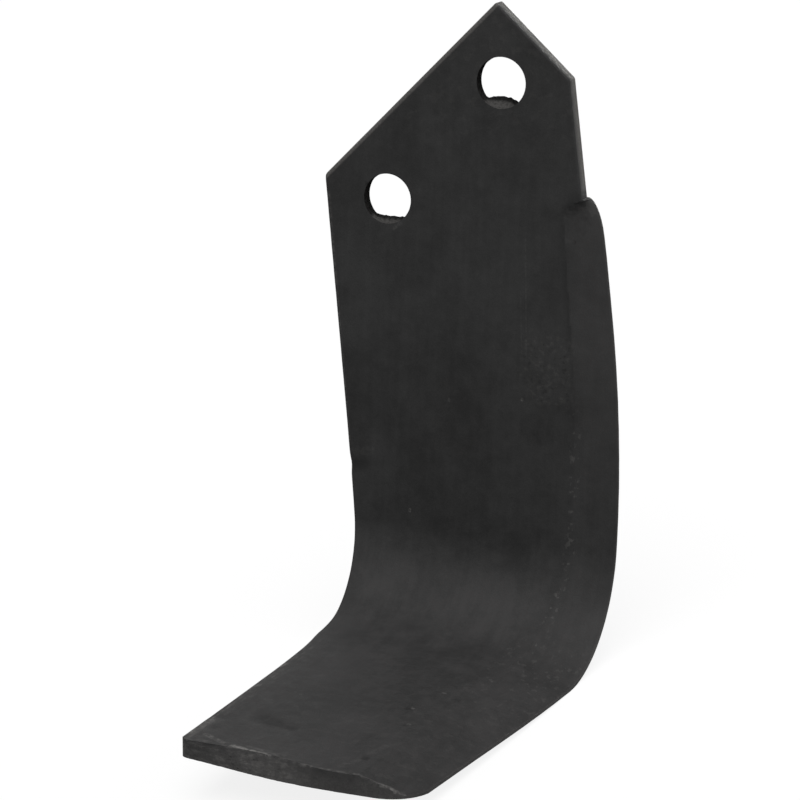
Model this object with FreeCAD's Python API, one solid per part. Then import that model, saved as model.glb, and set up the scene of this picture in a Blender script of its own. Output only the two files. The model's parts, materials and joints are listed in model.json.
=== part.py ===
"""Rotary tiller blade: one bar of spring steel, punched, sheared, forged to an edge and bent once.

Frame: the origin is on the back face, midway between the two bolt holes. X runs across the
bar towards the cutting edge, Y runs along the bolts with the back face at Y = 0 and the inner
face at Y = -thickness, and Z runs up the shank. Sizes are in millimetres, angles in degrees.

Sheet coordinates, used below the shoulder: s runs along the bend's axis, w runs down the
sheet from the line where the bend starts, and n is the height over the back face.
"""
import FreeCAD, Part
import math
import os

V = FreeCAD.Vector

# Bar
bar_width = 80.0
thickness = 5.7
bar_shift = 0.6            # the bar's middle line lies this far from the hole pair's middle

# Bolt holes, punched from the inner face
hole_spacing = 50.8
hole_diameter = 15.0
hole_line_angle = 38.6
hole_land = 2.6            # straight sheared wall at the inner face
hole_flare = 0.6           # the torn wall behind it opens by this much on the radius

# Pointed mounting end
left_slope_angle = 37.7
right_slope_angle = 49.9
hole_to_left_slope = 17.75
hole_to_right_slope = 15.5
tip_radius = 0.7
side_corner_radius = 1.6   # where the slopes meet the bar's sides

# Bend and foot
bend_drop = 119.8          # from the origin down to the start of the bend
bend_axis_tilt = 8.8       # the bend's axis falls towards the cutting edge
bend_radius = 27.6         # on the inner face
bend_angle = 91.7
foot_flat = 98.4           # from the end of the bend to the sheared end

# Trailing edge: the edge away from the cut
trailing_over_bar = 3.3    # reach along the bend's start, over half the bar's width
trailing_slope_shank = 0.12
trailing_slope_bend = 0.053
trailing_turn = 14.0       # length over which the trailing edge changes its slope
trailing_square = 67.4     # the last stretch of the foot, where it runs square to the bend
swell = 0.9                # the squeezed metal stands out at the end of the bend by this much
swell_length = 9.4

# Forged cutting edge
edge_over_bar = -0.8       # furthest reach along the bend's start, over half the bar's width
edge_top_station = -2.6    # where the edge reaches furthest
edge_radius_shank = 466.0
edge_radius_foot = 902.0
edge_straight = 57.4       # the last stretch of the foot, where the edge runs straight
shoulder_drop = 19.4       # from the origin down to the notch
shoulder_step = 4.0        # the forged edge stands this far outside the bar
shoulder_run = 12.5
runout_width = 5.7         # where the bevel starts on the inner face, beside the notch
runout_length = 5.5
runout_lift = 0.15         # the bevel leaves the outline this far over it, so it cuts clear
runout_turn = math.radians(14)
bevel_shank = 10.3
bevel_bend = 12.6
bevel_foot = 18.2
bevel_end = 15.0
bevel_turn = 8.0           # length over which the bevel changes its spread
edge_thickness = 0.9       # the forging leaves the cutting edge this thick

# Sheared end of the foot: how far it lies past its nominal line, at even stations across
end_line_inner = (-0.2, -0.9, -0.6, 1.9, 0.0)
end_line_back = (-0.9, 0.7, 2.1, 2.1, 1.0)
end_corner_radius = 14.0   # at the cutting edge
heel_corner_radius = 3.0   # at the trailing edge

# Soft edges
rolled_edge = 0.6

# Working room of the cuts
past = 1.5                 # how far cutting faces run past the sheet
blank_margin = 30.0        # the uncut sheet runs past the finished outline by this much
corner_clear = 0.1         # the end's corner arcs leave the outline this far outside it
station_step = 6.0         # spacing of the points that the edge lines run through


def sheet_point(s, w, n):
    """Point at sheet coordinates s, w and height n over the back face."""
    tilt = math.radians(bend_axis_tilt)
    along = V(math.cos(tilt), 0, -math.sin(tilt))
    down = V(-math.sin(tilt), 0, -math.cos(tilt))
    front = V(0, -1, 0)
    start = V(0, 0, -bend_drop)
    middle = bend_radius + thickness / 2
    angle = min(max(w / middle, 0), math.radians(bend_angle))
    rest = max(w - middle * math.radians(bend_angle), 0)
    reach = bend_radius + thickness - n
    drop = min(w, 0) + reach * math.sin(angle) + rest * math.cos(angle)
    forward = bend_radius + thickness - reach * math.cos(angle) + rest * math.sin(angle)
    return start + along * s + down * drop + front * forward


def bend_length():
    """Length of the bend, measured along the sheet's middle."""
    return (bend_radius + thickness / 2) * math.radians(bend_angle)


def foot_end():
    """Station of the sheared end's nominal line."""
    return bend_length() + foot_flat


def blank_top():
    """Station of the uncut sheet's upper end."""
    return -(bend_drop + apex()[1] + blank_margin)


def ramp(x, soft):
    """Zero below, x above, with a soft turn between."""
    return (x + math.sqrt(x * x + soft * soft)) / 2


def trailing_edge(w):
    """Trailing edge: straight on the shank, swollen past the bend, square on the foot."""
    s = -bar_width / 2 - trailing_over_bar + trailing_slope_shank * w
    s += (trailing_slope_bend - trailing_slope_shank) * ramp(w, trailing_turn)
    s -= trailing_slope_bend * ramp(w - foot_end() + trailing_square, trailing_turn)
    return s - swell * math.exp(-((w - bend_length()) / swell_length) ** 2)


def cutting_edge(w):
    """Cutting edge on the back face: two arcs, and a straight last stretch."""
    radius = edge_radius_shank if w < edge_top_station else edge_radius_foot
    straight_from = foot_end() - edge_straight
    off = min(w, straight_from) - edge_top_station
    fall = math.sqrt(radius * radius - off * off)
    s = bar_width / 2 + edge_over_bar - radius + fall
    return s - max(w - straight_from, 0) * off / fall


def bevel_width(w):
    """Width of the forged bevel, seen square to the inner face."""
    top = shoulder_drop - bend_drop
    rise = (bevel_bend - bevel_shank) / -top
    fan = (bevel_foot - bevel_bend) / bend_length()
    fall = (bevel_foot - bevel_end) / foot_flat
    width = bevel_bend + rise * w + (fan - rise) * ramp(w, bevel_turn)
    return width - (fan + fall) * ramp(w - bend_length(), bevel_turn)


def shoulder_outline(turn):
    """Outline just below the notch, a quarter of an ellipse, as (x, z)."""
    side = bar_shift + bar_width / 2
    x = side + shoulder_step * math.sin(turn)
    return x, -shoulder_drop - shoulder_run * (1 - math.cos(turn))


def bevel_runout(turn):
    """Where the bevel starts on the inner face beside the notch, as (x, z)."""
    x, z = shoulder_outline(runout_turn)
    out = runout_width + shoulder_step * math.sin(runout_turn)
    return x - out * math.sin(turn), z + runout_lift - runout_length * (1 - math.cos(turn))


def hole_centres():
    """Both bolt holes, upper one first, as (x, z)."""
    turn = math.radians(hole_line_angle)
    arm = hole_spacing / 2
    return [(side * arm * math.cos(turn), side * arm * math.sin(turn)) for side in (1, -1)]


def apex():
    """Tip of the pointed end, where its two slopes meet, as (x, z)."""
    x, z = hole_centres()[0]
    a, b = math.radians(left_slope_angle), math.radians(right_slope_angle)
    left = (x - hole_to_left_slope * math.sin(a), z + hole_to_left_slope * math.cos(a))
    right = (x + hole_to_right_slope * math.sin(b), z + hole_to_right_slope * math.cos(b))
    across = (right[0] - left[0]) * math.sin(b) + (right[1] - left[1]) * math.cos(b)
    reach = across / math.sin(a + b)
    return left[0] + reach * math.cos(a), left[1] + reach * math.sin(a)


def slope_points():
    """A point on the sheared side of each slope, left one first."""
    x, z = apex()
    left_run = hole_spacing / 2
    right_run = (bar_shift + bar_width / 2 - x) / 2
    left_fall = left_run * math.tan(math.radians(left_slope_angle))
    right_fall = right_run * math.tan(math.radians(right_slope_angle))
    middle = -thickness / 2
    return [V(x - left_run, middle, z - left_fall), V(x + right_run, middle, z - right_fall)]


def stations(first, last):
    """Evenly spaced numbers, both ends in."""
    count = max(2, round((last - first) / station_step))
    return [first + (last - first) * k / count for k in range(count + 1)]


def ruled_side(inner, outer, marks):
    """Ruled face between two smooth curves through matched points."""
    curves = []
    for points in (outer, inner):
        curve = Part.BSplineCurve()
        curve.interpolate(Points=points, Parameters=marks)
        curves.append(curve.toShape())
    return Part.makeRuledSurface(*curves)


def keep_side(solid, faces, inside):
    """Split a solid by faces and keep the piece that holds a point."""
    pieces = solid.generalFuse(faces)[0].Solids
    kept = [piece for piece in pieces if piece.isInside(inside, 1e-4, False)]
    return kept[0]


def face_at(body, point):
    """The face that a point lies on."""
    spot = Part.Vertex(point)
    return min(body.Faces, key=lambda face: face.distToShape(spot)[0])


def bent_blank():
    """The sheet before its outline is cut: a long profile, bent once."""
    half = bar_width / 2 + blank_margin
    top = blank_top()
    far = foot_end() + blank_margin / 2
    edges = []
    for n in (0, thickness):
        knee = [sheet_point(-half, bend_length() * k / 2, n) for k in range(3)]
        edges.append(Part.LineSegment(sheet_point(-half, top, n), knee[0]).toShape())
        edges.append(Part.Arc(*knee).toShape())
        edges.append(Part.LineSegment(knee[2], sheet_point(-half, far, n)).toShape())
    for w in (top, far):
        ends = [sheet_point(-half, w, n) for n in (0, thickness)]
        edges.append(Part.LineSegment(*ends).toShape())
    profile = Part.Face(Part.Wire(Part.__sortEdges__(edges)))
    return profile.extrude(sheet_point(half, 0, 0) - sheet_point(-half, 0, 0))


def side_face():
    """Square side of the bar above the notch."""
    side = bar_shift + bar_width / 2
    low, top = -shoulder_drop, apex()[1] + 2 * blank_margin
    near, far = past, -thickness - past
    points = [V(side, near, low), V(side, far, low), V(side, far, top), V(side, near, top)]
    return Part.Face(Part.makePolygon(points + points[:1]))


def shoulder_turns():
    """Steps round the quarter ellipse below the notch."""
    steps = round(2 * shoulder_run / station_step) + 1
    return [math.pi / 2 * k / steps for k in range(steps + 1)]


def edge_stations():
    """Stations down the cutting side below the shoulder."""
    return stations(shoulder_drop - bend_drop + 2 * shoulder_run, foot_end() + blank_margin)


def edge_marks():
    """Curve parameters that go with the shoulder's turns and the stations below it."""
    marks = [shoulder_run * turn / (math.pi / 2) for turn in shoulder_turns()]
    return marks + [w - shoulder_drop + bend_drop for w in edge_stations()]


def outline_face():
    """Square wall of the cutting side, from the notch to the sheared end."""
    rows = []
    for n in (-past, thickness + past):
        corner = [V(x, -n, z) for x, z in map(shoulder_outline, shoulder_turns())]
        rows.append(corner + [sheet_point(cutting_edge(w), w, n) for w in edge_stations()])
    return ruled_side(rows[1], rows[0], edge_marks())


def bevel_face():
    """Forged bevel: from a curved run-out at the notch, round the bend, to the sheared end."""
    pairs = []
    for turn in shoulder_turns():
        x, z = shoulder_outline(runout_turn + turn * (1 - runout_turn / (math.pi / 2)))
        lift = runout_lift if turn == 0 else 0
        start_x, start_z = bevel_runout(turn)
        pairs.append((V(x, -edge_thickness, z + lift), V(start_x, -thickness, start_z)))
    for w in edge_stations():
        s = cutting_edge(w)
        start = sheet_point(s - bevel_width(w), w, thickness)
        pairs.append((sheet_point(s, w, edge_thickness), start))
    rise = thickness - edge_thickness
    outer = [low + (low - high) * ((edge_thickness + past) / rise) for low, high in pairs]
    inner = [high + (high - low) * (past / rise) for low, high in pairs]
    return ruled_side(inner, outer, edge_marks())


def trailing_face():
    """Face that trims the trailing side from the pointed end to the sheared end."""
    marks = stations(blank_top() - past, foot_end() + blank_margin)
    rows = [[sheet_point(trailing_edge(w), w, n) for w in marks] for n in (thickness + past, -past)]
    return ruled_side(rows[0], rows[1], marks)


def above_slopes():
    """What the shear takes off above the two slopes of the pointed end."""
    x, z = apex()
    a, b = math.radians(left_slope_angle), math.radians(right_slope_angle)
    far = 2 * bar_width
    spots = [(x, z), (x + far * math.cos(b), z - far * math.sin(b)), (x + far, z + far),
             (x - far, z + far), (x - far * math.cos(a), z - far * math.sin(a))]
    points = [V(px, past, pz) for px, pz in spots]
    return Part.Face(Part.makePolygon(points + points[:1])).extrude(V(0, -thickness - 2 * past, 0))


def slope_corners(body):
    """Upright edges at the ends of both slopes, lowest first and the tip last."""
    found = []
    for point in slope_points():
        for edge in face_at(body, point).Edges:
            if abs(edge.tangentAt(edge.FirstParameter).y) > 0.99:
                found.append(edge)
    return sorted(found, key=lambda edge: edge.CenterOfMass.z)


def soften_corners(body):
    """Round the tip and the corners where the slopes meet the bar's sides."""
    body = body.makeFillet(side_corner_radius, slope_corners(body)[:2])
    return body.makeFillet(tip_radius, slope_corners(body)[-1:])


def roll_edges(body):
    """Round both long edges of each sheared side, as the shear and the forge leave them."""
    square = V(bar_shift + bar_width / 2, -thickness / 2, 0)
    trailing = sheet_point(trailing_edge(0), 0, thickness / 2)
    picked = []
    for point in slope_points() + [square, trailing]:
        for edge in face_at(body, point).Edges:
            if edge.Length > 2 * thickness:
                picked.append(edge)
    return body.makeFillet(rolled_edge, picked)


def corner_arc(corner, radius, side, n):
    """Quarter arc at the corner (s, w) that runs from the end line to the side's outline."""
    s, w = corner
    inset = radius * (1 - math.cos(math.pi / 4))
    spots = [(s - side * radius, w), (s - side * inset, w - inset), (s, w - radius)]
    return [sheet_point(p, q, n) for p, q in spots]


def end_wire(n):
    """Outline of what the shear leaves of the foot, at height n over the back face."""
    share = n / thickness
    line = [foot_end() + back + (inner - back) * share
            for inner, back in zip(end_line_inner, end_line_back)]
    outer = cutting_edge(foot_end() - end_corner_radius) + corner_clear
    heel = trailing_edge(foot_end()) - corner_clear
    toe_arc = corner_arc((outer, line[-1]), end_corner_radius, 1, n)
    heel_arc = corner_arc((heel, line[0]), heel_corner_radius, -1, n)
    first, last = heel + heel_corner_radius, outer - end_corner_radius
    gap = (last - first) / (len(line) - 1)
    shear = Part.BSplineCurve()
    shear.interpolate([sheet_point(first + gap * k, w, n) for k, w in enumerate(line)])
    edges = [Part.Arc(*heel_arc).toShape(), shear.toShape(), Part.Arc(*toe_arc).toShape()]
    start, turn = bend_length(), foot_end() - end_corner_radius - blank_margin / 2
    spots = [(outer + blank_margin, turn), (outer + blank_margin, start),
             (heel - blank_margin, start), (heel - blank_margin, turn)]
    corners = [toe_arc[-1]] + [sheet_point(s, w, n) for s, w in spots] + [heel_arc[-1]]
    edges += [Part.LineSegment(p, q).toShape() for p, q in zip(corners, corners[1:])]
    return Part.Wire(Part.__sortEdges__(edges))


def trim_foot(body):
    """Shear the foot to its end line."""
    half = bar_width / 2 + blank_margin
    near, far = foot_end() - 2 * end_corner_radius, foot_end() + 2 * blank_margin
    points = [sheet_point(s, w, -past) for s, w in ((-half, near), (half, near), (half, far), (-half, far))]
    up = sheet_point(0, near, thickness + past) - sheet_point(0, near, -past)
    waste = Part.Face(Part.makePolygon(points + points[:1])).extrude(up)
    kept = Part.makeLoft([end_wire(-2 * past), end_wire(thickness + 2 * past)], True, True)
    return body.cut(waste.cut(kept))


def punch(x, z):
    """Tool for one punched hole: sheared land at the inner face, torn flare to the back."""
    radius = hole_diameter / 2
    flare_deep = thickness - hole_land
    along = V(0, 1, 0)
    land = Part.makeCylinder(radius, hole_land + past, V(x, -thickness - past, z), along)
    wide = radius + hole_flare
    flare = Part.makeCone(radius, wide, flare_deep, V(x, -flare_deep, z), along)
    back = Part.makeCylinder(wide, past, V(x, 0, z), along)
    return land.fuse([flare, back])


def tiller_blade():
    """The whole blade as one solid."""
    inside = sheet_point(0, 0, thickness / 2)
    body = keep_side(bent_blank(), [side_face(), outline_face()], inside)
    body = keep_side(body, [bevel_face()], inside)
    body = keep_side(body.cut(above_slopes()), [trailing_face()], inside)
    body = roll_edges(soften_corners(body))
    body = trim_foot(body)
    for x, z in hole_centres():
        body = body.cut(punch(x, z))
    return body.removeSplitter()


if __name__ == "__main__":
    os.makedirs("parts", exist_ok=True)
    blade = tiller_blade()
    print("solids", len(blade.Solids), "valid", blade.isValid(), "volume", round(blade.Volume))
    blade.exportStep("parts/tiller_blade.step")
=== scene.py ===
"""Rotary tiller blade: a forged bar of spring steel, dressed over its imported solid.

Lengths are in millimetres unless a name ends in _m. Sheet coordinates follow the bar round
its bend: s runs along the bend's axis, w runs down the sheet from the line where the bend
starts, and n is the height over the back face.
"""

import json
import math
from types import SimpleNamespace

import bmesh
import bpy
from mathutils import Matrix, Vector, kdtree, noise


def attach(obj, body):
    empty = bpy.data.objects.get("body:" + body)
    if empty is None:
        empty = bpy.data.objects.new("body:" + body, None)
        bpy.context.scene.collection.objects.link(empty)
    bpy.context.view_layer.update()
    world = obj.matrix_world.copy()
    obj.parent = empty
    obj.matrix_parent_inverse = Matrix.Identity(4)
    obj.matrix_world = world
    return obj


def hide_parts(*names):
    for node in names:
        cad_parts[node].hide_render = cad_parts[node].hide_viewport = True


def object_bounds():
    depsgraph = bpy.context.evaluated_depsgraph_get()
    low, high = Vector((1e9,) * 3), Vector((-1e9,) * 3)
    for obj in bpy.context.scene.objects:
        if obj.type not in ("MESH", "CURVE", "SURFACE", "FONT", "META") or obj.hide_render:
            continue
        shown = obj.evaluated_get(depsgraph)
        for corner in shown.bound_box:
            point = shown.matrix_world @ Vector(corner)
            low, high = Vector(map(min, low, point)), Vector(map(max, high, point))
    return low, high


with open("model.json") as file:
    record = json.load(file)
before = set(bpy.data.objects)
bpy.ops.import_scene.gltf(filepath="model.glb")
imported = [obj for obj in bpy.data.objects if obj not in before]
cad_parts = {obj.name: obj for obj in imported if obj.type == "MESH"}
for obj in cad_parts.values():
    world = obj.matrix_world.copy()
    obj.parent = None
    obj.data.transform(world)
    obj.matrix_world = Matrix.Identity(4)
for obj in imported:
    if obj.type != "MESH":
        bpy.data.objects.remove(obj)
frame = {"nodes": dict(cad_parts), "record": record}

bl_info = {
    "name": "Rotary Tiller Blade",
    "version": (1, 0, 0),
    "blender": (4, 5, 0),
    "location": "3D View > Sidebar > Tiller Blade",
    "description": "Forged blade of a rotary tiller in black spring steel, on a pale floor",
    "category": "Object",
}

MM = 0.001
NODE = "tiller_blade"
SENSOR_WIDTH = 36.0
BOX_OF_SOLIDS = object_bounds()
MOUNTS = {mount["name"]: mount for mount in frame["record"]["mounts"]}
THICKNESS = -MOUNTS["inner_face"]["pos_m"][1] / MM
BORES = [MOUNTS[name] for name in ("upper_bolt_hole", "lower_bolt_hole")]


def linear(colour):
    """Linear RGBA of an sRGB hex colour."""
    parts = [int(colour[at:at + 2], 16) / 255 for at in (1, 3, 5)]
    return [c / 12.92 if c <= 0.04045 else ((c + 0.055) / 1.055) ** 2.4 for c in parts] + [1.0]


def length(name, default, description):
    """A length property in millimetres."""
    return bpy.props.FloatProperty(name=name, default=default, description=description + ", in mm")


def angle(name, degrees, description):
    """An angle property, given in degrees."""
    return bpy.props.FloatProperty(
        name=name, default=math.radians(degrees), description=description, subtype="ANGLE")


def colour(name, code, description):
    """A colour property, given as sRGB hex and kept linear."""
    return bpy.props.FloatVectorProperty(
        name=name, default=linear(code)[:3], description=description, subtype="COLOR",
        min=0.0, max=1.0)


class TILLER_PG_blade(bpy.types.PropertyGroup):
    """Sizes of the bent bar and of its forging and shearing marks."""
    bend_drop: length("Bend drop", 119.8, "From the origin down to the start of the bend")
    bend_axis_tilt: angle("Bend axis tilt", 8.8, "Fall of the bend's axis to the cutting edge")
    bend_radius: length("Bend radius", 27.6, "Radius of the bend on the inner face")
    bend_angle: angle("Bend angle", 91.7, "How far the foot is turned from the shank")
    hole_flare: length("Hole flare", 0.6, "Opening of the torn hole wall at the back face")
    grid: length("Grid", 1.15, "Spacing of the mesh lines that carry the dents")
    fine_grid: length("Fine grid", 0.55, "Spacing of the mesh lines near the sheared end")
    forge_wave: length("Forge wave", 0.12, "Depth of the soft hollows left by the hammer")
    edge_bite: length("Edge bite", 0.07, "Depth of the small waves along both long edges")
    tear: length("Tear", 0.22, "Depth of the drag marks on the sheared end")
    toe_slope: length("Toe slope", 0.8, "Rise of the crushed toe for each mm inwards")
    left_slope_angle: angle("Left slope", 37.7, "Slope of the point's left side")
    hole_to_slope: length("Hole to slope", 17.75, "From the upper hole to the left slope")
    rollover: length("Rollover", 1.4, "Width of the edge that the shear dragged down")
    rollover_drop: length("Rollover drop", 0.8, "How far the shear dragged that edge down")


class TILLER_PG_finish(bpy.types.PropertyGroup):
    """Colours of the black oxide and of the steel under it, some also laid as painted light and
    shade.
    """
    # The painted shade above the bend also pulls towards this dark oxide.
    oxide_dark: colour("Dark oxide", "#232323", "Black oxide where it is thick")
    oxide_light: colour("Light oxide", "#343434", "Black oxide where it is thin")
    # Painted light on the bend and the foot, which face up; also the greyer oxide of the forged
    # bevel.
    bevel_oxide_and_lit_foot: colour("Foot oxide", "#343333", "Thin grey oxide on the bend and the foot")
    rubbed: colour("Rubbed oxide", "#5b5957", "Oxide rubbed thin along the edges")
    bright_steel: colour("Bright steel", "#a3a19e", "Steel laid bare by the shear and in scuffs")
    smeared: colour("Smeared steel", "#757371", "Steel smeared by the shear and rubbed in use")
    # Also laid as painted shade along the bevel's crease and in the dents.
    dark_and_shade: colour("Torn dark", "#141414", "Rough dark wall of the punched holes")
    # Painted light on the torn floor of the punched holes, where it faces up.
    bore_floor_light: colour("Torn pale", "#434241", "Torn floor of the punched holes")


class TILLER_PG_stage(bpy.types.PropertyGroup):
    """Camera, lamps and floor."""
    azimuth: angle("Azimuth", 24.063, "Turn of the camera round the blade")
    elevation: angle("Elevation", 12.307, "Height of the camera over the horizon")
    roll: angle("Roll", -6.682, "Turn of the camera round its line of sight")
    distance: length("Distance", 802.1, "From the camera to its aim")
    focal_length: length("Focal length", 119.85, "Lens for a 36 mm wide sensor")
    aim: bpy.props.FloatVectorProperty(
        name="Aim", default=(-23.18, -6.0, -77.06), description="Where the camera looks, in mm")
    floor_radius_m: bpy.props.FloatProperty(
        name="Floor radius", default=8.0, description="Radius of the floor", unit="LENGTH")
    floor_colour: colour("Floor", "#f6f6f6", "Pale floor, as it is seen")
    floor_bounce: colour("Floor bounce", "#949494", "Floor, as it throws light back up")
    sky_light: bpy.props.FloatProperty(
        name="Sky light", default=0.28, description="Strength of the world's soft light")
    key_light: bpy.props.FloatProperty(
        name="Key light", default=3.2, description="Light of the wide bank above the front")
    side_light: bpy.props.FloatProperty(
        name="Side light", default=0.7, description="Light of the bank at the right")
    back_light: bpy.props.FloatProperty(
        name="Back light", default=1.4, description="Light of the low bank behind the blade")
    bank_width: angle("Bank width", 50, "How wide the front and side banks look")
    back_width: angle("Back width", 12, "How wide the bank behind the blade looks")


# The bent sheet

# Points this near a cut lie on it, and points this near, in metres, are merged
CUT_SNAP = 0.04
MERGE_M = 1e-6

# Two faces that turn less than the first are one, and past the second their edge is a corner
FLAT_ANGLE = math.radians(0.2)
CORNER_ANGLE = math.radians(33)

# Mesh layers through the thickness, and cuts across the edge that the shear dragged down, as
# shares of its width
LAYERS = 6
ROLLOVER_CUTS = (0.15, 0.4, 0.7, 1.0)

# Faces whose normal has less than this part square to the sheet are its sides, or hole walls
SIDE_TILT = 0.5
WALL_TILT = 0.7


def bend_middle(sizes):
    """Radius of the sheet's middle in the bend."""
    return sizes.bend_radius + THICKNESS / 2


def sheet_axes(sizes):
    """Directions along the bend's axis and down the sheet."""
    tilt = sizes.bend_axis_tilt
    along = Vector((math.cos(tilt), 0, -math.sin(tilt)))
    down = Vector((-math.sin(tilt), 0, -math.cos(tilt)))
    return along, down


def flatten(point, sizes):
    """Sheet coordinates of a point of the bent bar."""
    along, down = sheet_axes(sizes)
    off = point + Vector((0, 0, sizes.bend_drop))
    s, drop, forward = off.dot(along), off.dot(down), -off.y
    if drop <= 0:
        return Vector((s, drop, forward))
    outer, turn = sizes.bend_radius + THICKNESS, sizes.bend_angle
    reach = outer - forward
    around = math.atan2(drop, reach)
    if around <= turn:
        return Vector((s, around * bend_middle(sizes), outer - math.hypot(drop, reach)))
    height = reach * math.cos(turn) + drop * math.sin(turn)
    rest = drop * math.cos(turn) - reach * math.sin(turn)
    return Vector((s, turn * bend_middle(sizes) + rest, outer - height))


def bend(point, sizes):
    """Point of the bent bar at the sheet coordinates s, w, n."""
    s, w, n = point
    along, down = sheet_axes(sizes)
    middle, turn = bend_middle(sizes), sizes.bend_angle
    outer = sizes.bend_radius + THICKNESS
    around = min(max(w / middle, 0), turn)
    rest = max(w - middle * turn, 0)
    reach = outer - n
    drop = min(w, 0) + reach * math.sin(around) + rest * math.cos(around)
    forward = outer - reach * math.cos(around) + rest * math.sin(around)
    return along * s + down * drop + Vector((0, -forward, -sizes.bend_drop))


def everything(bm):
    """All points, edges and faces of a mesh."""
    return bm.verts[:] + bm.edges[:] + bm.faces[:]


def parts_below(bm, w):
    """The points, edges and faces of the sheet past a station."""
    faces = [face for face in bm.faces if face.calc_center_bounds().y > w]
    edges = {edge for face in faces for edge in face.edges}
    return list({vert for edge in edges for vert in edge.verts}) + list(edges) + faces


def slice_along(bm, parts, axis, first, last, step):
    """Cuts parts of the mesh into even strips across one axis."""
    direction = Vector([float(k == axis) for k in range(3)])
    for k in range(1, round((last - first) / step)):
        parts = bmesh.ops.bisect_plane(
            bm, geom=parts, dist=CUT_SNAP, plane_co=direction * (first + k * step),
            plane_no=direction)["geom"]


# Marks of forging, shearing and use

def bump(distance, width):
    """A soft round hill, 1 at the middle."""
    return math.exp(-(distance / width) ** 2)


def rise(value, low, high):
    """Smooth step from 0 at low to 1 at high."""
    share = min(max((value - low) / (high - low), 0), 1)
    return share * share * (3 - 2 * share)


# Small dents on the inner face: s, w, width, depth
DENTS = (
    (-7.0, 61.6, 0.9, 0.25), (3.4, 84.1, 0.8, 0.22), (6.7, 97.1, 1.0, 0.4),
    (10.5, 108.9, 1.0, 0.35), (-36.0, 127.5, 2.4, 0.22), (-34.0, 135.7, 1.7, 0.25),
    (-25.0, 123.3, 3.6, 0.30), (-20.5, 124.8, 3.0, 0.30), (-15.5, 125.9, 2.4, 0.22),
    (10.6, 136.3, 1.1, 0.45), (8.2, 140.5, 0.9, 0.25), (-21.0, -126.5, 1.6, 0.22),
    (2.9, -30.5, 2.6, 0.10), (15.6, -31.4, 2.4, 0.10), (-43.9, -16.0, 2.3, 0.34),
    (-39.9, -16.9, 2.2, 0.22),
)

# The nick in the trailing edge: how far down the sheet, how wide, how deep, what share of it
# the back has, and the stretch of -s over which it starts
NICK_LINE = -16.4
NICK_WIDTH, NICK_DEPTH = 2.2, 0.3
NICK_AT_BACK = 0.4
NICK_RISE = (40, 45.5)

# Waves that the hammer leaves: two lengths in mm and a seed. The front has long and short
# ones, and the short ones are less deep
LONG_WAVES = (21, 27, 1.7)
SHORT_WAVES = (7, 8, 5.2)
SHORT_SHARE = 1 / 3
BACK_WAVES = (23, 25, 9.1)

# Waves along the sides: two lengths in mm, the step of the seed from one side to the other,
# and the stretch of s or -s over which they start
SIDE_WAVES = (6, 9)
SIDE_SEED = 4
SIDE_RISE = (31, 41)

# Scratches, burrs and smears on the inner face: start, end, half width, strength, all on the
# flat sheet
STROKES = (
    ((-24.2, 145.0), (-13.0, 146.8), 1.2, 0.3), ((-13.0, 147.2), (-5.0, 148.1), 0.9, 0.24),
    ((-4.0, 148.3), (10.0, 148.3), 0.6, 0.12),
    ((12.3, 147.8), (18.5, 147.4), 0.7, 0.12), ((18.5, 147.6), (25.2, 144.6), 0.9, 0.2),
    ((-40.2, 118.0), (-39.6, 137.0), 1.1, 0.18), ((-37.4, 131.0), (-38.2, 142.0), 1.3, 0.16),
    ((-40.2, 92.0), (-40.5, 112.0), 0.7, 0.1), ((-34.0, 141.0), (-27.5, 144.2), 1.2, 0.14),
    ((9.3, -44.2), (9.3, -43.8), 0.6, 0.3), ((-13.8, -40.9), (-13.8, -40.5), 0.6, 0.06),
    ((-25.3, -4.5), (-25.3, -4.1), 0.6, 0.25), ((10.8, 81.0), (11.3, 81.2), 0.7, 0.09),
    ((7.4, 96.2), (7.9, 96.4), 0.6, 0.14), ((11.1, 107.9), (11.6, 108.2), 0.6, 0.12),
    ((-44.0, -20.5), (-38.5, -21.5), 2.0, 0.02), ((-20.0, 143.6), (-9.0, 145.2), 1.0, 0.06),
    ((-36.0, -90.5), (-46.0, -66.0), 4.0, 0.007), ((-31.0, -93.0), (-33.6, -90.8), 0.9, 0.06),
    ((-54.6, -100.0), (-46.0, -24.0), 0.7, 0.07), ((-42.0, -28.0), (-36.0, -22.0), 5.0, 0.008),
    ((12.0, 126.0), (10.4, 133.0), 1.6, 0.03), ((9.5, 138.5), (7.3, 142.1), 1.2, 0.04),
    ((8.3, -92.0), (10.0, -57.0), 0.35, 0.025), ((7.4, -76.0), (8.5, -58.0), 0.35, 0.018),
)

# How far back from the foot's end its drag marks start, and where they are full. The marks:
# depth, two lengths in mm and a seed. They are shallow at the toe and grow over a stretch
# of -s
END_ZONE, END_FULL = 9.0, 1.0
DRAG_MARKS = ((1.3, 2.1, 6, 3.3), (0.8, 0.9, 2.2, 7.9))
DRAG_AT_TOE = 0.45
DRAG_RISE = (-18, 4)

# The end's lower corner on the trailing side, which is pushed outwards over a shorter stretch
CORNER_ZONE = 6.0
CORNER_BULGE = 0.8
CORNER_RISE = (35, 39)

# The crushed toe: a point on its thin rim, how far it reaches along s and w, and how the
# forged bevel thins towards it
TOE_RIM = Vector((24.9, 145.0))
TOE_REACH = Vector((9.0, 14.0))
TOE_LEAN = 0.45
RIM_THICKNESS = 0.9
BEVEL_AT_TOE = Vector((29.8, 0.32))


def dent_depth(s, w):
    """Depth of the small dents at a place on the inner face."""
    depth = 0.0
    for at_s, at_w, width, deep in DENTS:
        off = math.hypot(s - at_s, w - at_w)
        if off < 3 * width:
            depth += deep * bump(off, width)
    return depth


def ripple(first, second, waves):
    """Soft noise from 0 to 1 with waves of two lengths."""
    return (1 + noise.noise(Vector((first / waves[0], second / waves[1], waves[2])))) / 2


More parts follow.
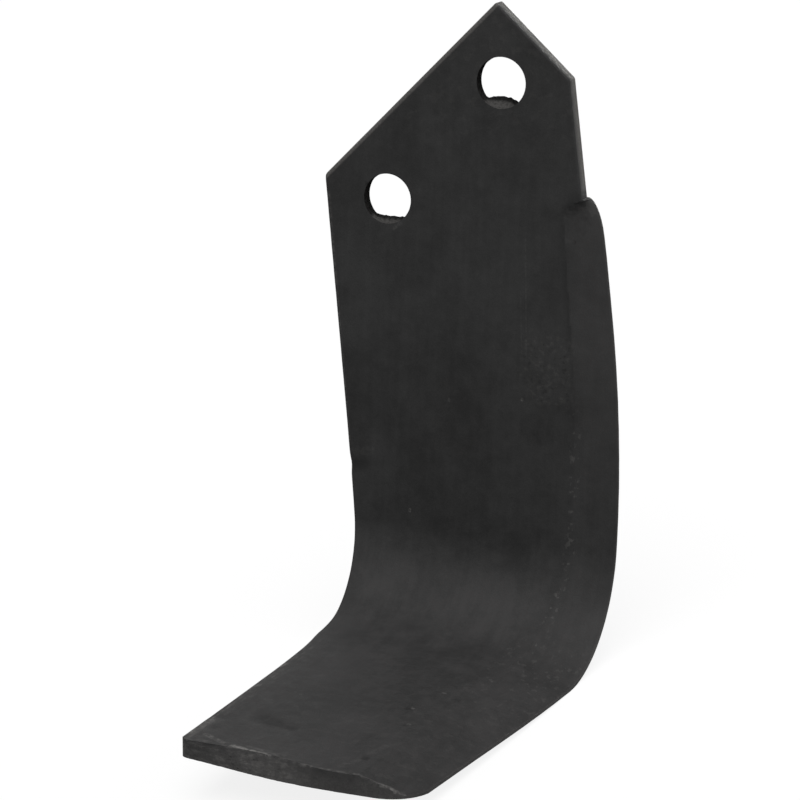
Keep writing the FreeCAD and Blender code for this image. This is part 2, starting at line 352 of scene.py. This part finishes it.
def forge_marks(spot, inside_slope, sizes, end):
    """Where a point of the flat sheet moves to under the hammer, the shear and use."""
    s, w, n = spot
    share = n / THICKNESS
    waves = ripple(s, w, LONG_WAVES) + SHORT_SHARE * ripple(s, w, SHORT_WAVES)
    hollow = sizes.forge_wave * waves + dent_depth(s, w)
    if inside_slope < sizes.rollover:
        down = min(max(1 - inside_slope / sizes.rollover, 0), 1)
        hollow += sizes.rollover_drop * (1 - math.sqrt(1 - down * down))
    back = sizes.forge_wave * ripple(s, w, BACK_WAVES)
    n += back * (1 - share) - hollow * share
    side = rise(abs(s), *SIDE_RISE) * math.copysign(1, s)
    s -= side * sizes.edge_bite * ripple(w, n, (*SIDE_WAVES, side * SIDE_SEED))
    nick = NICK_DEPTH * bump(w - NICK_LINE, NICK_WIDTH) * rise(-s, *NICK_RISE)
    s += nick * (NICK_AT_BACK + (1 - NICK_AT_BACK) * share)
    if w > end - END_ZONE:
        w -= end_tear(s, n, sizes) * rise(w, end - END_ZONE, end - END_FULL)
        corner = rise(w, end - CORNER_ZONE, end - END_FULL) * rise(-s, *CORNER_RISE)
        s -= CORNER_BULGE * (1 - share) * corner
    n *= toe_thinning(s, w, sizes)
    return Vector((s, w, n))


def toe_thinning(s, w, sizes):
    """Share of the thickness that is left where the toe was crushed thin."""
    inwards = TOE_RIM.x - s + (TOE_RIM.y - w) * TOE_LEAN
    reached = s > TOE_RIM.x - TOE_REACH.x and w > TOE_RIM.y - TOE_REACH.y
    if not reached or inwards > TOE_REACH.x:
        return 1.0
    forged = RIM_THICKNESS + BEVEL_AT_TOE.y * max(BEVEL_AT_TOE.x - s, 0)
    crushed = RIM_THICKNESS + sizes.toe_slope * max(inwards, 0)
    return min(crushed / min(forged, THICKNESS), 1.0)


def end_tear(s, n, sizes):
    """Depth of the drag marks that the shear left on the end of the foot."""
    depth = sum(deep * abs(noise.noise(Vector((s / along, n / across, seed))))
                for deep, along, across, seed in DRAG_MARKS)
    return sizes.tear * depth * (DRAG_AT_TOE + (1 - DRAG_AT_TOE) * rise(-s, *DRAG_RISE))


# Torn floor of each bolt hole: how far its top lies below the middle, how much lower it is at
# the arch's reach, and where its top lies across the hole
TORN_FLOORS = ((4.6, 1.3, -1.6), (6.1, -0.1, 0.0))
ARCH_REACH = 5

# Ragged steps of those floors: height, two lengths in mm and a seed
FLOOR_STEPS = ((0.35, 0.7, 2.5, 2.4), (0.2, 2.3, 4, 6.1))

# Shares of the thickness between which a floor turns from its clean front rim to torn steel,
# and how far below the torn steel that rim starts
TORN_FROM, TORN_TO = 0.8, 0.35
RIM_BELOW = 2.5

# How near its true round the wall of a hole lies, how deep its clean front rim is, and how
# wide a rim belongs to it
WALL_SNAP = 0.06
CLEAN_RIM = 0.2
BORE_RIM = 1.2


def bore_radius(n, bore, sizes):
    """Radius of a punched hole at the height n: a sheared land, then the torn flare."""
    radius, land = bore["dims"]["r_mm"], bore["dims"]["length_mm"]
    deep = THICKNESS - land
    return radius + sizes.hole_flare * max(deep - n, 0) / deep


def torn_floor(across, n, floor, arch):
    """How far below the hole's middle its torn floor lies, from the front rim to the back."""
    jag = sum(high * noise.noise(Vector((across / wide, n / deep, seed)))
              for high, wide, deep, seed in FLOOR_STEPS)
    clean = rise(n / THICKNESS, TORN_TO, TORN_FROM)
    return floor + arch * (across / ARCH_REACH) ** 2 + jag + clean * RIM_BELOW


def round_bores(bm, sizes):
    """Brings the hole walls to a true round and tears their lower back rims."""
    for bore, (floor, arch, middle) in zip(BORES, TORN_FLOORS):
        x, _, z = [part / MM for part in bore["pos_m"]]
        centre = flatten(Vector((x, 0, z)), sizes)
        for vert in bm.verts:
            off = Vector((vert.co.x - centre.x, vert.co.y - centre.y))
            wanted = bore_radius(vert.co.z, bore, sizes)
            if off.length < wanted + WALL_SNAP:
                off = off * (wanted / off.length)
                if vert.co.z < THICKNESS - CLEAN_RIM:
                    off.y = min(off.y, torn_floor(off.x - middle, vert.co.z, floor, arch))
                vert.co.x, vert.co.y = centre.x + off.x, centre.y + off.y


def slope_line(sizes):
    """A place on the left slope of the flat sheet's point, and the way inwards from it."""
    hole = Vector(BORES[0]["pos_m"]) / MM
    a = sizes.left_slope_angle
    outwards = Vector((-math.sin(a), 0, math.cos(a)))
    edge = flatten(hole + outwards * sizes.hole_to_slope, sizes)
    return edge, (flatten(hole, sizes) - edge).normalized()


def slice_rollover(bm, sizes):
    """Cuts lines along the left slope, for its rounded edge."""
    edge, inwards = slope_line(sizes)
    for share in ROLLOVER_CUTS:
        bmesh.ops.bisect_plane(
            bm, geom=everything(bm), dist=CUT_SNAP,
            plane_co=edge + inwards * (share * sizes.rollover), plane_no=inwards)


# Where the forged bevel runs out beside the notch: middle and reach on the flat sheet, the
# share of the thickness above which it lies, and how often it is smoothed
RUNOUT = Vector((22.0, -101.5))
RUNOUT_REACH = 8.5
RUNOUT_ABOVE = 0.4
RUNOUT_ROUNDS = 14


def soften_runout(bm):
    """Smooths the crease where the bevel runs out, clear of the sheet's outline."""
    spots = []
    for vert in bm.verts:
        off = Vector((vert.co.x, vert.co.y)) - RUNOUT
        rim = any(abs(face.normal.z) < SIDE_TILT for face in vert.link_faces)
        if off.length < RUNOUT_REACH and vert.co.z > THICKNESS * RUNOUT_ABOVE and not rim:
            spots.append(vert)
            for edge in vert.link_edges:
                edge.smooth = True
    for _ in range(RUNOUT_ROUNDS):
        bmesh.ops.smooth_vert(bm, verts=spots, factor=0.5, use_axis_z=True)


def near_bore(spot, sizes):
    """Whether a point of the flat sheet is on the wall or the rim of a bolt hole."""
    for bore in BORES:
        centre = flatten(Vector(bore["pos_m"]) / MM, sizes)
        off = Vector((spot.x - centre.x, spot.y - centre.y))
        if off.length < bore["dims"]["r_mm"] + BORE_RIM:
            return True
    return False


def mark_bores(bm, sizes):
    """Gives the hole walls the second material."""
    for face in bm.faces:
        if abs(face.normal.z) < WALL_TILT and near_bore(face.calc_center_median(), sizes):
            face.material_index = 1


# How square to the sheet the forged bevel looks: lowest and highest part of its normal. It
# lies on the cutting side, below the notch
BEVEL_TILT = (0.8, 0.985)
CUTTING_SIDE = 10.0
NOTCH_LINE = -105.5


def mark_edges(bm, sizes):
    """Marks the corners, and stores where the bevel, its crease, the front and the rims lie."""
    bm.normal_update()
    for edge in bm.edges:
        hard = len(edge.link_faces) == 2 and edge.calc_face_angle(0.0) > CORNER_ANGLE
        edge.smooth = not hard
    bevel = bm.verts.layers.float.new("bevel")
    front = bm.verts.layers.float.new("front")
    for face in bm.faces:
        for vert in face.verts:
            cutting = vert.co.x > CUTTING_SIDE and vert.co.y > NOTCH_LINE
            if cutting and BEVEL_TILT[0] < face.normal.z < BEVEL_TILT[1]:
                vert[bevel] = 1.0
            if face.normal.z > BEVEL_TILT[0]:
                vert[front] = 1.0
    steep = [face for face in bm.faces if abs(face.normal.z) < BEVEL_TILT[0]]
    spots = [vert.co.copy() for face in steep for vert in face.verts]
    store_distance(bm, "edge_mm", [spot for spot in spots if not near_bore(spot, sizes)])
    flat = {vert for face in bm.faces if face.normal.z > BEVEL_TILT[1] for vert in face.verts}
    store_distance(bm, "crease_mm", [vert.co.copy() for vert in flat if vert[bevel] > 0.5])


def store_distance(bm, name, spots):
    """Stores each point's distance from the nearest of some spots."""
    tree = kdtree.KDTree(len(spots))
    for k, spot in enumerate(spots):
        tree.insert(spot, k)
    tree.balance()
    layer = bm.verts.layers.float.new(name)
    for vert in bm.verts:
        vert[layer] = tree.find(vert.co)[2]


def fine_sheet(sizes):
    """The solid's own form, laid out flat and cut fine, and the place of its foot's end."""
    bm = bmesh.new()
    bm.from_mesh(frame["nodes"][NODE].data)
    bmesh.ops.remove_doubles(bm, verts=bm.verts, dist=MERGE_M)
    for vert in bm.verts:
        vert.co = flatten(vert.co / MM, sizes)
    # The flat sheet is a mirror image of the bar, so its faces are turned round, and back later
    bmesh.ops.reverse_faces(bm, faces=bm.faces)
    bmesh.ops.dissolve_limit(bm, angle_limit=FLAT_ANGLE, verts=bm.verts, edges=bm.edges)
    low = Vector([min(vert.co[k] for vert in bm.verts) for k in range(3)])
    high = Vector([max(vert.co[k] for vert in bm.verts) for k in range(3)])
    slice_along(bm, everything(bm), 1, low.y, high.y, sizes.grid)
    slice_along(bm, everything(bm), 0, low.x, high.x, sizes.grid)
    slice_along(bm, everything(bm), 2, 0, THICKNESS, THICKNESS / LAYERS)
    end_parts = parts_below(bm, high.y - END_ZONE)
    slice_along(bm, end_parts, 0, low.x, high.x, sizes.fine_grid)
    slice_rollover(bm, sizes)
    return bm, high.y


def forged_mesh(sizes):
    """Mesh of the blade: the fine sheet, given its marks and bent back."""
    bm, end = fine_sheet(sizes)
    mark_edges(bm, sizes)
    mark_bores(bm, sizes)
    soften_runout(bm)
    round_bores(bm, sizes)
    sheet = bm.verts.layers.float_vector.new("sheet_mm")
    slope = bm.verts.layers.float.new("slope_mm")
    dent = bm.verts.layers.float.new("dent_mm")
    edge, inwards = slope_line(sizes)
    for vert in bm.verts:
        vert[sheet] = vert.co
        vert[dent] = dent_depth(vert.co.x, vert.co.y)
        vert[slope] = (vert.co - edge).dot(inwards)
        vert.co = bend(forge_marks(vert.co, vert[slope], sizes, end), sizes) * MM
    bmesh.ops.reverse_faces(bm, faces=bm.faces)
    bmesh.ops.dissolve_degenerate(bm, dist=MERGE_M, edges=bm.edges)
    for face in bm.faces:
        face.smooth = True
    mesh = bpy.data.meshes.new("forged_blade")
    bm.to_mesh(mesh)
    bm.free()
    return mesh


# Materials

def add(tree, kind, links=None, **settings):
    """Adds a node, sets its settings and links or fills its inputs."""
    node = tree.nodes.new(kind)
    for key, value in settings.items():
        setattr(node, key, value)
    for key, value in (links or {}).items():
        socket = node.inputs[key]
        if isinstance(value, bpy.types.NodeSocket):
            tree.links.new(value, socket)
        else:
            socket.default_value = value
    return node


def new_material(name):
    """A new material and its tree, still without nodes."""
    material = bpy.data.materials.new(name)
    material.use_nodes = True
    material.node_tree.nodes.clear()
    return material, material.node_tree


def grain(tree, sheet, size, stretch=(1.0, 1.0, 1.0), detail=3.0, rough=0.55, shift=0.0):
    """Noise with grains of a real size in mm, stretched along the sheet."""
    placed = add(tree, "ShaderNodeMapping", {
        "Vector": sheet, "Location": (shift, shift, shift),
        "Scale": [part / size for part in stretch]})
    return add(tree, "ShaderNodeTexNoise", {
        "Vector": placed.outputs[0], "Scale": 1.0, "Detail": detail,
        "Roughness": rough}).outputs["Fac"]


def share_of(tree, *factors):
    """Product of factors, each a value, a number or a soft fade along a value.

    A fade is written (value, low, high): 0 at low and 1 at high. Two more numbers give what it
    is there, where that isn't 0 and 1. Along s, w and n, low and high are mm on the flat sheet.
    """
    product = None
    for factor in factors:
        if isinstance(factor, tuple):
            value, low, high, *ends = factor
            at_low, at_high = ends or (0.0, 1.0)
            factor = add(tree, "ShaderNodeMapRange", {
                "Value": value, "From Min": low, "From Max": high, "To Min": at_low,
                "To Max": at_high}, interpolation_type="SMOOTHSTEP").outputs[0]
        product = factor if product is None else add(
            tree, "ShaderNodeMath", {0: product, 1: factor}, operation="MULTIPLY").outputs[0]
    return product


def highest(tree, *factors):
    """The highest of several factors."""
    top = share_of(tree, factors[0])
    for factor in factors[1:]:
        top = add(tree, "ShaderNodeMath", {
            0: top, 1: share_of(tree, factor)}, operation="MAXIMUM").outputs[0]
    return top


def blended(tree, *parts):
    """Sum of several factors, each times its weight."""
    total = share_of(tree, *parts[0])
    for part in parts[1:]:
        total = add(tree, "ShaderNodeMath", {
            0: total, 1: share_of(tree, *part)}, operation="ADD").outputs[0]
    return total


def coat(tree, below, above, *factors):
    """Lays one colour over another, as thick as the product of the factors."""
    sockets = {0: share_of(tree, *factors)}
    # A mix node keeps its two colours in inputs 6 and 7, and gives the result in output 2
    for at, tint in ((6, below), (7, above)):
        sockets[at] = tint if isinstance(tint, bpy.types.NodeSocket) else (*tint, 1)
    return add(tree, "ShaderNodeMix", sockets, data_type="RGBA").outputs[2]


def stroke(tree, sheet, start, end, width):
    """1 along a straight stroke on the flat sheet, fading to 0 at its width."""
    first, line = Vector((*start, 0)), Vector((*end, 0)) - Vector((*start, 0))
    off = add(tree, "ShaderNodeVectorMath", {0: sheet, 1: first}, operation="SUBTRACT")
    flat = add(tree, "ShaderNodeVectorMath", {
        0: off.outputs[0], 1: (1, 1, 0)}, operation="MULTIPLY").outputs[0]
    run = add(tree, "ShaderNodeVectorMath", {
        0: flat, 1: line / line.length_squared}, operation="DOT_PRODUCT").outputs["Value"]
    share = add(tree, "ShaderNodeClamp", {"Value": run}).outputs[0]
    nearest = add(tree, "ShaderNodeVectorMath", {
        0: line, "Scale": share}, operation="SCALE").outputs[0]
    gap = add(tree, "ShaderNodeVectorMath", {0: flat, 1: nearest}, operation="DISTANCE")
    return share_of(tree, (gap.outputs["Value"], width, width * 0.3))


def read_sheet(tree, sizes):
    """What the layers of the skin are placed by: places, stored marks, grains and zones."""
    at = SimpleNamespace(rollover=sizes.rollover)
    at.sheet = add(tree, "ShaderNodeAttribute", attribute_name="sheet_mm").outputs["Vector"]
    place = add(tree, "ShaderNodeSeparateXYZ", {"Vector": at.sheet}).outputs
    at.s, at.w, at.n = place["X"], place["Y"], place["Z"]
    at.edge, at.bevel, at.slope, at.dent, at.crease, at.front = [
        add(tree, "ShaderNodeAttribute", attribute_name=name).outputs["Fac"]
        for name in ("edge_mm", "bevel", "slope_mm", "dent_mm", "crease_mm", "front")]
    at.cloud = grain(tree, at.sheet, 4.5, detail=4.0, rough=0.65, shift=3.1)
    at.grit = grain(tree, at.sheet, 0.5, detail=3.0, rough=0.7, shift=1.3)
    at.smear = grain(tree, at.sheet, 1.3, (0.35, 1.0, 1.0), detail=4.0, rough=0.7, shift=5.9)
    at.trailing_rim = share_of(tree, (at.s, -34.0, -42.0), (at.w, 45.0, 95.0))
    at.foot_end = share_of(tree, (at.w, 141.0, 149.0), (at.s, 2.0, -14.0, 0.12, 1.0))
    return at


def oxide_scale(tree, at, colours):
    """Black oxide in blotches, clouds and faint streaks; painted shade above the bend, painted
    light on the bend and the foot.
    """
    blotch = grain(tree, at.sheet, 17.0, (1.0, 0.75, 1.0), detail=4.0, rough=0.6)
    streak = grain(tree, at.sheet, 1.6, (1.0, 0.05, 1.0), detail=2.0, shift=7.7)
    # The last term is painted shade: it darkens the shank's lower part, towards the bend.
    tone_and_shade = blended(
        tree, ((blotch, 0.32, 0.68), 0.38), ((at.cloud, 0.3, 0.7), 0.28),
        ((at.grit, 0.3, 0.7), 0.2), ((streak, 0.35, 0.7), 0.1), ((at.w, -75.0, -35.0), -0.16))
    oxide = coat(tree, colours.oxide_dark, colours.oxide_light, tone_and_shade)
    # Painted light: the bend and the foot turn greyer where they face up.
    return coat(tree, oxide, colours.bevel_oxide_and_lit_foot, (at.w, -4.0, 26.0),
                (tone_and_shade, 0.1, 0.9, 0.25, 0.85))


def bevel_and_painted_shade(tree, at, colours, skin):
    """Greyer oxide on the hammered bevel, painted shade along its crease, and painted shade in the
    dents.
    """
    skin = coat(tree, skin, colours.bevel_oxide_and_lit_foot, at.bevel, (at.crease, 0.0, 4.0, 0.4, 1.0),
                (at.w, 0.0, -70.0, 0.12, 0.33))
    # Painted shade: a dark band on the flat face of the upper shank, along the crease where the
    # bevel starts.
    skin = coat(tree, skin, colours.dark_and_shade, (at.crease, 2.6, 0.3), at.front,
                (at.w, -30.0, -75.0), (at.bevel, 0.9, 0.1), (at.cloud, 0.3, 0.65, 0.05, 0.35))
    # Painted shade: the dents darken with their depth.
    return coat(tree, skin, colours.dark_and_shade, (at.dent, 0.02, 0.32), 0.45)


def rubbed_edges(tree, at, colours, skin):
    """Oxide rubbed thin on the sheared sides and on the edge that the shear dragged down."""
    ragged = share_of(tree, (at.grit, 0.25, 0.65, 0.45, 1.0))
    sheared = share_of(tree, (at.edge, 0.6, 0.05), ragged, (at.n, THICKNESS, THICKNESS * 0.35),
                       (at.w, -107.0, -109.0, 0.12, 1.0))
    rolled = share_of(tree, (at.slope, at.rollover * 1.15, at.rollover * 0.7), ragged, 0.7)
    return coat(tree, skin, colours.rubbed, highest(tree, sheared, rolled))


def smeared_steel(tree, at, colours, skin):
    """Steel smeared in dashes along the foot's trailing rim and in patches on its end."""
    dashes = grain(tree, at.sheet, 1.4, (1.0, 0.3, 1.0), detail=3.0, shift=8.8)
    rim = share_of(tree, at.trailing_rim, (dashes, 0.46, 0.75, 0.1, 0.9))
    end = share_of(tree, at.foot_end, (at.smear, 0.46, 0.78, 0.0, 0.45),
                   (at.front, 0.0, 1.0, 0.65, 1.0))
    return coat(tree, skin, colours.smeared, highest(tree, rim, end))


def flakes_and_specks(tree, at, colours, skin):
    """Oxide flaked thin near the point and on the foot, and specks on the bend and crease."""
    flakes = grain(tree, at.sheet, 2.6, detail=2.0, rough=0.6, shift=14.0)
    flaked = highest(tree, (at.w, -112.0, -132.0, 0.04, 0.14), (at.w, 60.0, 110.0, 0.04, 0.15))
    skin = coat(tree, skin, colours.rubbed, (flakes, 0.54, 0.66), flaked, 0.4)
    specks = grain(tree, at.sheet, 1.7, (1.0, 0.7, 1.0), detail=2.0, rough=0.6, shift=11.0)
    on_bend = share_of(tree, (at.s, 8.0, 18.0), (at.w, 22.0, 40.0), (at.w, 100.0, 72.0),
                       at.front, 0.07)
    on_crease = share_of(tree, (at.crease, 2.4, 0.5), at.front, (at.w, -50.0, -30.0),
                         (at.w, 80.0, 60.0), 0.14)
    return coat(tree, skin, colours.smeared, (specks, 0.58, 0.68),
                highest(tree, on_bend, on_crease))


def scuffed_patch(tree, at, colours, skin):
    """A scuffed, finely pitted patch on the shank beside the cutting edge."""
    patch = share_of(tree, (at.s, 6.0, 11.0), (at.s, 26.5, 23.0), at.front,
                     (at.w, -67.0, -61.0), (at.w, -40.0, -46.0))
    fleck = grain(tree, at.sheet, 1.5, detail=3.0, rough=0.65, shift=17.0)
    skin = coat(tree, skin, colours.rubbed, patch, (fleck, 0.5, 0.7, 0.02, 0.16))
    return coat(tree, skin, colours.dark_and_shade, patch, (fleck, 0.42, 0.32, 0.0, 0.4))


def scratches_and_pits(tree, at, colours, skin):
    """Bright broken strokes on the front, and dark pits in the foot's end."""
    strokes = highest(tree, *[
        share_of(tree, stroke(tree, at.sheet, start, end, width), strength)
        for start, end, width, strength in STROKES])
    broken = grain(tree, at.sheet, 1.7, detail=4.0, rough=0.7, shift=6.6)
    skin = coat(tree, skin, colours.bright_steel, strokes, at.front,
                (broken, 0.4, 0.62, 0.1, 1.0))
    return coat(tree, skin, colours.dark_and_shade, at.foot_end, (at.smear, 0.42, 0.3))


SKIN_LAYERS = (
    bevel_and_painted_shade, rubbed_edges, smeared_steel, flakes_and_specks, scuffed_patch,
    scratches_and_pits,
)


def black_oxide_spring_steel(sizes, colours):
    """Hot-forged spring steel, oil-blackened: satin black scale, blotched, rubbed at its edges.

    The oxide is a thin dark skin, so it shines little face on and more at a low angle. Its
    grains are about 0.1 mm, drawn 0.5 mm coarse so that they show.
    """
    material, tree = new_material("black_oxide_spring_steel")
    at = read_sheet(tree, sizes)
    skin = oxide_scale(tree, at, colours)
    for layer in SKIN_LAYERS:
        skin = layer(tree, at, colours, skin)
    scuffs = share_of(tree, highest(tree, at.trailing_rim, at.foot_end), at.smear)
    relief = blended(tree, (at.cloud, 1.6), (at.grit, 1.0), (scuffs, 1.5))
    height = add(tree, "ShaderNodeBump", {
        "Strength": 0.35, "Distance": 0.12 * MM, "Height": relief}).outputs[0]
    shader = add(tree, "ShaderNodeBsdfPrincipled", {
        "Base Color": skin, "Roughness": share_of(tree, (at.cloud, 0.3, 0.7, 0.55, 0.7)),
        "Normal": height, "Specular IOR Level": 0.07})
    add(tree, "ShaderNodeOutputMaterial", {"Surface": shader.outputs[0]})
    return material


def hole_floor(tree, sheet, bore, sizes):
    """1 on the torn floor of a punched hole: near its wall and well below its middle."""
    centre = flatten(Vector(bore["pos_m"]) / MM, sizes)
    radius = bore["dims"]["r_mm"]
    off = add(tree, "ShaderNodeVectorMath", {
        0: sheet, 1: centre}, operation="SUBTRACT").outputs[0]
    flat = add(tree, "ShaderNodeVectorMath", {0: off, 1: (1, 1, 0)}, operation="MULTIPLY")
    reach = add(tree, "ShaderNodeVectorMath", {0: flat.outputs[0]}, operation="LENGTH")
    below = add(tree, "ShaderNodeSeparateXYZ", {"Vector": off}).outputs["Y"]
    return share_of(tree, (reach.outputs["Value"], radius + 3, radius + 2), (below, 5.0, 6.2))


def torn_punched_steel(sizes, colours):
    """Wall of a punched hole: dull, dark and torn, with painted light on its torn floor, where
    that faces up.

    Torn steel scatters light in its pits, so it has no gloss. Its pits are about 0.4 mm,
    drawn 0.8 mm coarse so that they show.
    """
    material, tree = new_material("torn_punched_steel")
    sheet = add(tree, "ShaderNodeAttribute", attribute_name="sheet_mm").outputs["Vector"]
    n = add(tree, "ShaderNodeSeparateXYZ", {"Vector": sheet}).outputs["Z"]
    pits = grain(tree, sheet, 0.8, detail=3.0, rough=0.65, shift=4.4)
    floors = highest(tree, *[hole_floor(tree, sheet, bore, sizes) for bore in BORES])
    wall = coat(tree, colours.dark_and_shade, colours.rubbed, (pits, 0.3, 0.7, 0.0, 0.12))
    # Painted light: the torn floor turns paler towards the front, where it faces up.
    skin = coat(tree, wall, colours.bore_floor_light, floors, (n, 2.2, 3.3),
                (pits, 0.3, 0.6, 0.45, 1.0))
    height = add(tree, "ShaderNodeBump", {
        "Strength": 0.6, "Distance": 0.3 * MM, "Height": pits}).outputs[0]
    shader = add(tree, "ShaderNodeBsdfPrincipled", {
        "Base Color": skin, "Roughness": 0.9, "Normal": height, "Specular IOR Level": 0.0})
    add(tree, "ShaderNodeOutputMaterial", {"Surface": shader.outputs[0]})
    return material


def seen_directly(tree):
    """1 for rays from the camera and for mirrored or refracted rays."""
    path = add(tree, "ShaderNodeLightPath").outputs
    return highest(tree, path["Is Camera Ray"], path["Is Glossy Ray"],
                   path["Is Transmission Ray"])


# How much of the floor is plain white to the eye; the rest takes real light and shade
WHITE_SHARE = 0.85


def pale_floor(seen, bounce):
    """Matt studio paper: white to the eye, with a faint share of real shade for the shadow."""
    material, tree = new_material("matt_studio_paper")
    direct = seen_directly(tree)
    tint = coat(tree, bounce, seen, direct)
    paper = add(tree, "ShaderNodeBsdfDiffuse", {"Color": tint}).outputs[0]
    white = add(tree, "ShaderNodeEmission", {"Strength": 1.0}).outputs[0]
    share = share_of(tree, direct, WHITE_SHARE)
    surface = add(tree, "ShaderNodeMixShader", {0: share, 1: paper, 2: white}).outputs[0]
    add(tree, "ShaderNodeOutputMaterial", {"Surface": surface})
    return material


# Operators

class TILLER_OT_blade(bpy.types.Operator):
    """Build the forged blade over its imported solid"""
    bl_idname = "object.tiller_forged_blade"
    bl_label = "Forged Blade"

    def execute(self, context):
        sizes = context.scene.tiller_blade
        blade = bpy.data.objects.new("forged_blade", forged_mesh(sizes))
        context.scene.collection.objects.link(blade)
        for finish in (black_oxide_spring_steel, torn_punched_steel):
            blade.data.materials.append(finish(sizes, context.scene.tiller_finish))
        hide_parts(NODE)
        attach(blade, "root")
        return {"FINISHED"}


class TILLER_OT_stage(bpy.types.Operator):
    """Set the floor, the world, the lamps and the camera"""
    bl_idname = "object.tiller_stage"
    bl_label = "Stage"

    def execute(self, context):
        stage = context.scene.tiller_stage
        self.lay_floor(context, stage)
        self.light_world(context, stage)
        self.hang_lamps(context, stage)
        self.set_camera(context, stage)
        context.scene.view_settings.view_transform = "Standard"
        return {"FINISHED"}

    def lay_floor(self, context, stage):
        """A wide disc under the lowest point of the blade."""
        bm = bmesh.new()
        bmesh.ops.create_circle(bm, cap_ends=True, segments=96, radius=stage.floor_radius_m)
        bmesh.ops.translate(bm, verts=bm.verts, vec=(0, 0, BOX_OF_SOLIDS[0].z))
        mesh = bpy.data.meshes.new("floor")
        bm.to_mesh(mesh)
        bm.free()
        floor = bpy.data.objects.new("floor", mesh)
        mesh.materials.append(pale_floor(stage.floor_colour, stage.floor_bounce))
        context.scene.collection.objects.link(floor)

    def light_world(self, context, stage):
        """White to the eye and in reflections, and a softer grey as light."""
        world = bpy.data.worlds.new("studio")
        world.use_nodes = True
        tree = world.node_tree
        tree.nodes.clear()
        soft = add(tree, "ShaderNodeBackground", {"Strength": stage.sky_light}).outputs[0]
        white = add(tree, "ShaderNodeBackground", {
            "Color": (1, 1, 1, 1), "Strength": 1.0}).outputs[0]
        mixed = add(tree, "ShaderNodeMixShader", {0: seen_directly(tree), 1: soft, 2: white})
        add(tree, "ShaderNodeOutputWorld", {"Surface": mixed.outputs[0]})
        context.scene.world = world

    def hang_lamps(self, context, stage):
        """Soft banks high above the front and low at the right, and a narrow one low behind."""
        wide, narrow = stage.bank_width, stage.back_width
        banks = (
            ("key_bank", stage.key_light, wide, Vector((0.40, -0.80, 1.33))),
            ("side_bank", stage.side_light, wide, Vector((1.3, -0.25, 0.35))),
            ("back_bank", stage.back_light, narrow, Vector((0.0, 1.0, 0.07))),
        )
        for name, strength, width, off in banks:
            lamp = bpy.data.lights.new(name, "SUN")
            lamp.energy, lamp.angle = strength, width
            holder = bpy.data.objects.new(name, lamp)
            turn = off.to_track_quat("Z", "Y").to_matrix().to_4x4()
            holder.matrix_world = Matrix.Translation(off) @ turn
            context.scene.collection.objects.link(holder)

    def set_camera(self, context, stage):
        """The photograph's viewpoint, with its slight roll."""
        a, e, roll = stage.azimuth, stage.elevation, stage.roll
        level = Vector((math.cos(a), math.sin(a), 0))
        upright = Vector((-math.sin(a) * math.sin(e), math.cos(a) * math.sin(e), math.cos(e)))
        back = Vector((math.sin(a) * math.cos(e), -math.cos(a) * math.cos(e), math.sin(e)))
        right = level * math.cos(roll) + upright * math.sin(roll)
        up = upright * math.cos(roll) - level * math.sin(roll)
        lens = bpy.data.cameras.new("camera")
        lens.sensor_width, lens.lens = SENSOR_WIDTH, stage.focal_length
        lens.clip_start, lens.clip_end = 0.05, 100.0
        camera = bpy.data.objects.new("camera", lens)
        place = (Vector(stage.aim) + back * stage.distance) * MM
        camera.matrix_world = Matrix.Translation(place) @ Matrix(
            (right, up, back)).transposed().to_4x4()
        context.scene.collection.objects.link(camera)
        context.scene.camera = camera


class TILLER_PT_panel(bpy.types.Panel):
    """Buttons and values for the blade and its stage"""
    bl_idname = "TILLER_PT_panel"
    bl_label = "Tiller Blade"
    bl_space_type = "VIEW_3D"
    bl_region_type = "UI"
    bl_category = "Tiller Blade"

    def draw(self, context):
        for operator, group in (
                (TILLER_OT_blade, context.scene.tiller_blade),
                (None, context.scene.tiller_finish),
                (TILLER_OT_stage, context.scene.tiller_stage)):
            column = self.layout.column(align=True)
            if operator is not None:
                column.operator(operator.bl_idname)
            for name in group.__annotations__:
                column.prop(group, name)


GROUPS = {
    "tiller_blade": TILLER_PG_blade,
    "tiller_finish": TILLER_PG_finish,
    "tiller_stage": TILLER_PG_stage,
}
CLASSES = (*GROUPS.values(), TILLER_OT_blade, TILLER_OT_stage, TILLER_PT_panel)


def register():
    """Registers the classes and puts the values on the scene."""
    for cls in CLASSES:
        bpy.utils.register_class(cls)
    for name, group in GROUPS.items():
        setattr(bpy.types.Scene, name, bpy.props.PointerProperty(type=group))


def unregister():
    """Takes the values and the classes off again."""
    for name in GROUPS:
        delattr(bpy.types.Scene, name)
    for cls in reversed(CLASSES):
        bpy.utils.unregister_class(cls)


def main():
    """Builds the blade and its stage."""
    register()
    bpy.ops.object.tiller_forged_blade()
    bpy.ops.object.tiller_stage()


if __name__ == "__main__":
    main()
